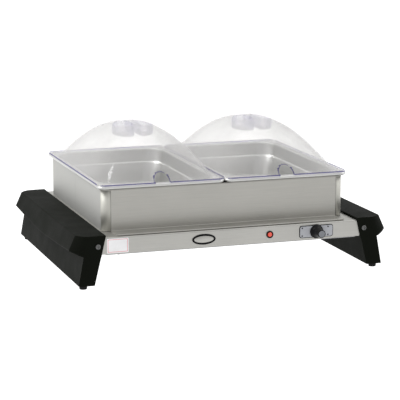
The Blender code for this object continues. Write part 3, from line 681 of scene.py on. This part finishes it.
# --------------------------------------------------------------------------------------------------
# Pan frame
# --------------------------------------------------------------------------------------------------
SHEET = 0.0012
FRAME_CORNER = 0.0200
SEAM = 0.0006                   # half the gap beside a corner post
HEM_UP = 0.0034
FLANGE_BENDS = [0.0022, 0.0014]
END_ROW = 0.0010                # distance of the extra row of points beside each end
LAP = 0.0150                    # how far a side panel's rear half reaches behind its front half
JOGGLE = (0.0006, 0.0046)       # where it steps out again
POST_STEPS = 18


def frame_sheet(node, rows, surface):
    """A steel sheet of the pan frame through rows of points, in a node's stead."""
    made = piece(node + "_steel", to_mesh(node, sheet_shape(rows)), "pan_frame", [surface],
                 [node], (0.0, MIDDLE_Y, 0.0))
    return thick(made, SHEET)


def make_frame():
    """Panels with a stepped foot flange, side panels lapped in two halves, and round corner posts."""
    half = SHEET / 2
    frame_x = (RAIL[1].x - RAIL[0].x) / 2
    frame_y = (RAIL[1].y - RAIL[0].y) / 2
    top = RAIL[0].z - GAP
    bottom = FRAME_LOW.z + half
    flange = {"front": MIDDLE_Y - FRAME_LOW.y - half, "rear": FRAME_HIGH.y - MIDDLE_Y - half}
    edge = frame_x - FRAME_CORNER - SEAM
    for name, end in ENDS:
        wall = frame_y - half
        reach = flange[name]
        path = round_path([
            (wall, top), (wall, bottom), (reach, bottom), (reach, bottom + HEM_UP)], FLANGE_BENDS)
        across = (-edge, -edge + END_ROW, edge - END_ROW, edge)
        rows = [[(x, end * y, z) for x in across] for y, z in path]
        flat_faces(frame_sheet("frame_%s_panel" % name, rows, STEEL_FRONT))

    side_edge = frame_y - FRAME_CORNER - SEAM
    for hand, side in SIDES:
        outer = side * (frame_x - half)
        tucked = side * (frame_x - half - SHEET - 2 * GAP)
        paths = {
            "front": [(outer, -side_edge), (outer, 0.0)],
            "rear": [(tucked, -LAP), (tucked, JOGGLE[0]), (outer, JOGGLE[1]), (outer, side_edge)]}
        for part, path in paths.items():
            rows = [[(x, y, FRAME_LOW.z), (x, y, top)] for x, y in path]
            flat_faces(frame_sheet("frame_%s_panel_%s" % (hand, part), rows, STEEL_SIDE))

    arc_r = FRAME_CORNER - half
    for end, sign_y in ENDS:
        for hand, sign_x in SIDES:
            rows = []
            for step in range(POST_STEPS + 1):
                angle = math.radians(90) * step / POST_STEPS
                x = sign_x * (frame_x - FRAME_CORNER + arc_r * math.sin(angle))
                y = sign_y * (frame_y - FRAME_CORNER + arc_r * math.cos(angle))
                rows.append([(x, y, FRAME_LOW.z + 0.0002), (x, y, top)])
            frame_sheet("frame_corner_%s_%s" % (end, hand), rows, STEEL_POST)


# --------------------------------------------------------------------------------------------------
# Legs
# --------------------------------------------------------------------------------------------------
RIDGE_IN = 0.0170               # the handle's upper outer edge, in from its tip
TIP_DOWN = 0.0365               # the tip's edge, below the top
NECK_IN = 0.0310                # where the handle meets the wall, in from the tip
NECK_DOWN = 0.0500              # and below the top
FOOT_INNER = 0.0292             # the wall's foot, out from its top inner edge
FOOT_OUTER = 0.0691
CORE_SHOULDER = (0.0350, 0.0120)  # the wall's outer edge inside the handle, out and above the neck
CORE_TOP = 0.0300
TURN_IN = 0.0300                # a handle's end turns back over this width
TURN_BACK = 0.0240              # and by this much at its outer face
BELLY_DROP = 0.0140             # how far the handle's lower edge dips in the middle
END_CAP = (                     # (shrink, inset) of the rings across a handle's end
    (0.96, 0.0), (0.7, 0.0), (0.4, 0.0), (0.15, 0.0), (0.020, 0.0), (0.006, 0.0003))
END_EDGE = 0.0012               # inset of the first full ring
LEG_STATIONS = 48
ARC_STEPS = 4                   # points round one corner of a leg's section
EDGE_STEPS = 8                  # and along one of its straight edges


def make_leg(hand, side):
    """End leg: leaning wall with an overhanging grip that has turned-back ends and a belly."""
    low, high = LEG[hand]
    length = (high.y - low.y) / 2
    top, bottom = high.z, low.z
    in_top_x = min(abs(low.x), abs(high.x))
    tip_x = max(abs(low.x), abs(high.x))
    ridge_x = tip_x - RIDGE_IN
    tip_z = top - TIP_DOWN
    neck = (tip_x - NECK_IN, top - NECK_DOWN)
    lean = FOOT_INNER / (top - bottom)
    inner_x = in_top_x + lean * (top - neck[1])

    def end(x, z):
        """Half length of the handle at a point of its section."""
        rise = min(max((z - neck[1]) / (top - neck[1]), 0.0), 1.0)
        inner = neck[0] + (ridge_x - TURN_IN - neck[0]) * rise
        over = min(max((z - tip_z) / (top - tip_z), 0.0), 1.0)
        outer = tip_x + (ridge_x - tip_x) * over
        share = min(max((x - inner) / (outer - inner), 0.0), 1.0)
        return length - TURN_BACK * share ** 2

    def section(along):
        """The handle's outline at a share of its half length."""
        belly = BELLY_DROP * (1 - abs(along) ** 1.3)
        corners = [
            (in_top_x, top), (inner_x, neck[1] - 0.0030), neck, (tip_x, tip_z - belly), (ridge_x, top)]
        outline = round_loop(corners, [0.0016, 0.0010, 0.0040, 0.0034, 0.0034], ARC_STEPS)
        filled = []
        for index, point in enumerate(outline):
            filled.append(point)
            if index % (ARC_STEPS + 1) == ARC_STEPS:
                after = outline[(index + 1) % len(outline)]
                filled += [point.lerp(after, step / EDGE_STEPS) for step in range(1, EDGE_STEPS)]
        return filled

    def ring(along, shrink, inset):
        """The section shrunk about its middle and set in from its place."""
        outline = section(along)
        middle = sum(outline, Vector((0.0, 0.0))) / len(outline)
        points = []
        for point in outline:
            x, z = middle + (point - middle) * (1 - shrink)
            points.append((side * x, along * (end(x, z) - inset), z))
        return points

    rings = [ring(-1, shrink, inset) for shrink, inset in END_CAP]
    rings += [ring(2 * step / LEG_STATIONS - 1, 0.0, END_EDGE) for step in range(LEG_STATIONS + 1)]
    rings += [ring(1, shrink, inset) for shrink, inset in reversed(END_CAP)]
    wall = [
        (in_top_x, top), (in_top_x + FOOT_INNER, bottom), (in_top_x + FOOT_OUTER, bottom), neck,
        (in_top_x + CORE_SHOULDER[0], neck[1] + CORE_SHOULDER[1]), (in_top_x + CORE_TOP, top)]
    outline = round_loop(wall, [0.0014, 0.0016, 0.0016, 0.0010, 0.0030, 0.0010], 3)
    core = prism_shape([(side * point.x, point.y) for point in outline], -length, length)
    name = "leg_%s_plastic" % hand
    mesh = shaped(name, rings_shape(rings), [("UNION", linked("core", to_mesh("core", core)))], 30)
    flat_faces(piece(name, mesh, "base", [BLACK_LEG], ["leg_" + hand],
                     (0.0, (low.y + high.y) / 2, 0.0)))


HEAD_RISE = 0.0035
CROSS_LONG = 0.0040
CROSS_NARROW = 0.0010
CROSS_FLOOR = 0.0012            # the cross recess's floor, above the head's seat
CROSS_END = 0.0092              # where its tool ends


def make_screw(end, way, hand):
    """Pan-head screw with a cross recess in a leg's end face."""
    node = "leg_screw_%s_%s" % (end, hand)
    low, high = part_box(node)
    radius = (high.x - low.x) / 2
    face_y = high.y if way > 0 else low.y
    place = Vector(((low.x + high.x) / 2, face_y - way * HEAD_RISE, (low.z + high.z) / 2))
    profile = [
        (0.0004, 0.0), (radius, 0.0), (radius, 0.0008), (radius * 0.95, 0.0017), (radius * 0.80, 0.0026),
        (radius * 0.55, 0.0032), (radius * 0.25, HEAD_RISE), (0.0002, HEAD_RISE)]
    tools = []
    for half_x, half_z in ((CROSS_LONG, CROSS_NARROW), (CROSS_NARROW, CROSS_LONG)):
        outline = [(-half_x, -half_z), (half_x, -half_z), (half_x, half_z), (-half_x, half_z)]
        near, far = sorted((-way * CROSS_FLOOR, -way * CROSS_END))
        tools.append(cut(plate_shape(outline, place, near, far)))
    mesh = shaped(node, turned_shape(profile, place, (0, way, 0), 32), tools)
    piece(node + "_head", mesh, "base", [STEEL_SCREW], [node])


def make_foot(end, hand):
    """Tapered rubber foot with a rounded lip."""
    node = "foot_%s_%s" % (end, hand)
    low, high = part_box(node)
    radius, height = (high.x - low.x) / 2, high.z - low.z
    profile = [
        (0.0003, height), (radius, height), (radius, height - 0.0016), (radius * 0.96, height - 0.0024),
        (radius * 0.89, 0.0016), (radius * 0.86, 0.0006), (radius * 0.80, 0.0), (0.0003, 0.0)]
    place = ((low.x + high.x) / 2, (low.y + high.y) / 2, low.z)
    mesh = to_mesh(node, turned_shape(profile, place, (0, 0, 1), 40))
    piece(node + "_rubber", mesh, "base", [RUBBER], [node])


# --------------------------------------------------------------------------------------------------
# Controls
# --------------------------------------------------------------------------------------------------
SHADOW_BORDER = 0.0016                 # dark edge showing round the control plate: a painted shadow line
SHAFT_HOLE_R = 0.0048
DOT_LEFT, DOT_RIGHT, DOT_UP = -0.0380, 0.0310, 0.0100
LENS_SEAT_R = 0.0064
BADGE_RING = 0.0046             # width of the badge's ring
BADGE_GAP = 0.0003              # between the ring and the face
LINE_OUTER = 0.0022             # the label's line, in from its edge
LINE_INNER = 0.0034
KNOB_RIBS = 24
RIB_DEPTH = 0.00035


def make_bezel():
    """Grey control plate on a dark border that paints its shadow line, with four small dark dots."""
    centre, half_x, half_z, depth = front_plate("control_bezel")
    # the black border layer is painted shade: it stands in for the shadow line round the grey plate
    layers = (
        ("control_shadow_border", 0.0, 0.55, BLACK_PRINT_AND_SHADE, ["control_bezel"], 0.0, 0.0060),
        ("control_plate", 0.55, 1.0, GREY_PLATE, [], SHADOW_BORDER, 0.0048))
    for name, start, end, surface, stands_for, inset, corner in layers:
        outline = rounded_rectangle(half_x - inset, half_z - inset, corner, 8)
        shape = plate_shape(outline, centre, depth * start, depth * end)
        hole = drill(centre, (0, 1, 0), SHAFT_HOLE_R, 32)
        mesh = shaped(name, shape, [hole, (0.0003, 2, 60)])
        piece(name, mesh, "base", [surface], stands_for)
    spots = [(x, z) for x in (DOT_LEFT, DOT_RIGHT) for z in (DOT_UP, -DOT_UP)]
    profile = [(0.0001, -0.0004), (0.0019, -0.0004), (0.0019, 0.0002), (0.0012, 0.0005), (0.0001, 0.0006)]
    for index, (x, z) in enumerate(spots):
        place = (centre.x + x, centre.y - depth, centre.z + z)
        mesh = to_mesh("rivet", turned_shape(profile, place, (0, -1, 0), 20))
        piece("control_rivet_%d" % (index + 1), mesh, "base", [BLACK_PRINT_AND_SHADE])


def make_lamp():
    """Indicator lamp: dark ring and a faceted red lens."""
    low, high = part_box("indicator_body")
    radius = (high.x - low.x) / 2
    place = Vector(((low.x + high.x) / 2, TRAY[0].y - GAP, (low.z + high.z) / 2))
    ring = [
        (LENS_SEAT_R, 0.0010), (0.0068, 0.0022), (radius - 0.0012, 0.0026), (radius - 0.0002, 0.0018),
        (radius, 0.0008), (radius, 0.0), (LENS_SEAT_R, 0.0)]
    piece("indicator_ring", to_mesh("ring", turned_shape(ring, place, (0, -1, 0), 48)), "base",
          [BLACK_GLOSS], ["indicator_body"])
    lens = [
        (0.0001, 0.0062), (0.0018, 0.0060), (0.0034, 0.0052), (0.0048, 0.0039), (0.0060, 0.0022),
        (0.0062, 0.0008), (0.0001, 0.0008)]
    piece("indicator_lens_red", to_mesh("lens", turned_shape(lens, place, (0, -1, 0), 12), 5), "base",
          [LAMP_RED], ["indicator_lens"])


def make_badge():
    """Blank oval badge: black ring round a steel face."""
    centre, half_x, half_z, depth = front_plate("badge_plate")
    inner = oval(half_x - BADGE_RING, half_z - BADGE_RING)
    hole = cut(plate_shape(inner, centre, -PAST, depth + PAST))
    outer = plate_shape(oval(half_x, half_z), centre, 0.0, depth)
    mesh = shaped("badge_ring", outer, [hole, (0.0003, 2, 50)])
    piece("badge_ring", mesh, "base", [BLACK_PRINT_AND_SHADE], ["badge_plate"])
    inset = BADGE_RING + BADGE_GAP
    face = plate_shape(oval(half_x - inset, half_z - inset), centre, 0.0, depth * 0.6)
    piece("badge_face", shaped("badge_face", face, [(0.0003, 2, 50)]), "base", [STEEL_TRAY])


def make_label():
    """Blank white label with a thin line round it."""
    centre, half_x, half_z, depth = front_plate("blank_label")
    card = plate_shape(rounded_rectangle(half_x, half_z, 0.0020, 6), centre, 0.0, depth * 0.60)
    piece("label_card", shaped("label_card", card, []), "base", [CARD], ["blank_label"])
    outer = rounded_rectangle(half_x - LINE_OUTER, half_z - LINE_OUTER, 0.0016, 6)
    inner = rounded_rectangle(half_x - LINE_INNER, half_z - LINE_INNER, 0.0010, 6)
    line = shaped("label_line", plate_shape(outer, centre, depth * 0.60, depth * 0.80),
                  [cut(plate_shape(inner, centre, -PAST, PAST))])
    piece("label_line", line, "base", [PINK_LINE])


def make_knob():
    """Black control knob: flared skirt, ribbed grip and a flat grey cap."""
    place, radius, _, reach = front_plate("thermostat_knob")
    profile = [                 # (radius, height, share of the ribs' depth)
        (0.0040, 0.0, 0), (radius - 0.0004, 0.0, 0), (radius, 0.0006, 0), (radius, 0.0020, 0),
        (radius - 0.0010, 0.0030, 0), (0.0142, 0.0044, 0), (0.0130, 0.0062, 0.3), (0.0122, 0.0090, 1),
        (0.0112, 0.0200, 1), (0.0104, 0.0320, 1), (0.0102, reach - 0.0012, 0.4), (0.0097, reach - 0.0003, 0),
        (0.0092, reach, 0), (0.0086, reach, 0), (0.0085, reach - 0.0014, 0)]
    body = turned_shape(profile, place, (0, -1, 0), 120, KNOB_RIBS, RIB_DEPTH)
    piece("knob_body", to_mesh("knob", body, 50), "knob", [BLACK_GLOSS], ["thermostat_knob"])
    cap = [(0.0001, reach - 0.0012), (0.0083, reach - 0.0012), (0.0083, reach - 0.0003), (0.0080, reach),
           (0.0001, reach - 0.0001)]
    piece("knob_cap_grey", to_mesh("cap", turned_shape(cap, place, (0, -1, 0), 48)), "knob", [GREY_CAP],
          ["knob_cap"])


# --------------------------------------------------------------------------------------------------
# Base tray
# --------------------------------------------------------------------------------------------------
LIP_WIDTH = 0.0180              # the skirts' return lips underneath
LEG_GAP = 0.0009                # between the tray's ends and the legs
SKIRT_HOLES = (                 # (node, radius, end of the tray)
    ("indicator_body", 0.0076, -1), ("thermostat_knob", 0.0050, -1), ("cord_gland", 0.0085, 1))
COVER_HOLE_R = 0.0026


def make_tray():
    """Warming plate bent down into both skirts, its ends slanting with the legs."""
    half = SHEET / 2
    low, high = TRAY
    middle = (low.y + high.y) / 2
    face = (high.y - low.y) / 2 - half
    leg_low, leg_high = LEG["right"]
    lean = FOOT_INNER / (leg_high.z - leg_low.z)
    side = round_path([
        (face - LIP_WIDTH, low.z + half), (face, low.z + half), (face, high.z - half),
        (0.0, high.z - half)], [0.0016, 0.0030], 6)
    path = [(-y, z) for y, z in side] + [(y, z) for y, z in reversed(side[:-1])]
    rows = []
    for y, z in path:
        reach = leg_low.x + (leg_high.z - z) * lean - LEG_GAP
        rows.append([(-reach, y, z), (0.0, y, z), (reach, y, z)])
    base = thick(linked("sheet", to_mesh("sheet", sheet_shape(rows))), SHEET)
    shape = bmesh.new()
    bpy.context.view_layer.update()
    shape.from_object(base, bpy.context.evaluated_depsgraph_get())
    bpy.data.objects.remove(base, do_unlink=True)
    holes = []
    for node, radius, end in SKIRT_HOLES:
        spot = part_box(node)
        place = ((spot[0].x + spot[1].x) / 2, end * face, (spot[0].z + spot[1].z) / 2)
        holes.append(drill(place, (0, 1, 0), radius, 40))
    for index in range(1, 5):
        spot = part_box("cover_screw_%d" % index)
        place = ((spot[0].x + spot[1].x) / 2, (spot[0].y + spot[1].y) / 2 - middle, low.z)
        holes.append(drill(place, (0, 0, 1), COVER_HOLE_R, 20))
    mesh = shaped("base_tray_steel", shape, holes, 30)
    flat_faces(piece("base_tray_steel", mesh, "base", [STEEL_TRAY], ["base_tray"],
                     (0.0, middle, 0.0)))


# --------------------------------------------------------------------------------------------------
# Assembly
# --------------------------------------------------------------------------------------------------
make_tray()
make_frame()
for hand, side in SIDES:
    make_pan(hand)
    make_lid(hand)
    make_leg(hand, side)
    for end, way in ENDS:
        make_foot(end, hand)
        make_screw(end, way, hand)
make_bezel()
make_lamp()
make_badge()
make_label()
make_knob()

for node, surface in KEPT_NODES.items():
    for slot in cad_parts[node].material_slots:
        slot.material = surface

# --------------------------------------------------------------------------------------------------
# Stage and light
# --------------------------------------------------------------------------------------------------
FLOOR_HALF = 30.0
WORLD_FRONT = 0.55
WORLD_REAR = 0.85
WORLD_TOP = 0.3
LIGHT_AIM = Vector((0.0, 0.0, 0.1))


def stage_plane(name, height, grey, front_glow, rear_glow, in_view):
    """A pale glowing floor, met either by the camera's rays or by reflected and scattered ones."""
    shade = Shade(bpy.data.materials.new(name))
    pale = shade.add("ShaderNodeBsdfDiffuse", {"Color": (grey, grey, grey, 1.0)})
    split = shade.add("ShaderNodeSeparateXYZ", {"Vector": shade.places["Object"]})
    glow = shade.remap(split.outputs["Y"], front_glow, rear_glow, -1.0, 0.6)
    light = shade.add("ShaderNodeEmission", {"Strength": glow})
    both = shade.add("ShaderNodeAddShader", {0: pale.outputs[0], 1: light.outputs[0]})
    rows = [[(-FLOOR_HALF, y, 0.0), (FLOOR_HALF, y, 0.0)] for y in (FLOOR_HALF, -FLOOR_HALF)]
    made = linked(name, to_mesh(name, sheet_shape(rows)))
    made.location = (0.0, 0.0, height)
    made.data.materials.append(shade.finish(both))
    made.visible_camera = in_view
    made.visible_transmission = in_view
    made.visible_glossy = not in_view
    made.visible_diffuse = not in_view
    made.visible_shadow = False


def studio_world():
    """Soft light from all round, stronger from the rear and from overhead."""
    shade = Shade(bpy.data.worlds.new("studio"), "ShaderNodeOutputWorld")
    split = shade.add("ShaderNodeSeparateXYZ", {"Vector": shade.places["Generated"]})
    level = shade.remap(split.outputs["Y"], WORLD_FRONT, WORLD_REAR, -1.0, 0.35)
    above = shade.remap(split.outputs["Z"], 0.0, WORLD_TOP, 0.45, 0.80)
    glow = shade.add("ShaderNodeBackground", {
        "Color": (1.0, 1.0, 1.0, 1.0), "Strength": shade.maths("ADD", level, above)})
    bpy.context.scene.world = shade.finish(glow)


def soft_light(name, place, size, power):
    """A large square area light that shines at the object's middle."""
    data = bpy.data.lights.new(name, "AREA")
    data.size = size
    data.energy = power
    made = linked(name, data)
    made.location = place
    made.rotation_euler = (Vector(place) - LIGHT_AIM).to_track_quat("Z", "Y").to_euler()


stage_plane("floor", height=-0.0008, grey=0.3, front_glow=1.0, rear_glow=1.0, in_view=True)
stage_plane("floor_bounce", height=-0.0006, grey=0.25, front_glow=0.68, rear_glow=0.95, in_view=False)
studio_world()
soft_light("key", (-2.2, 0.8, 2.4), 1.6, 45.0)
soft_light("fill", (2.4, -0.6, 2.0), 1.4, 12.0)

bpy.context.scene.view_settings.view_transform = "Standard"
bpy.context.scene.cycles.transparent_max_bounces = 32
bpy.context.scene.cycles.glossy_bounces = 10
bpy.context.scene.cycles.max_bounces = 16
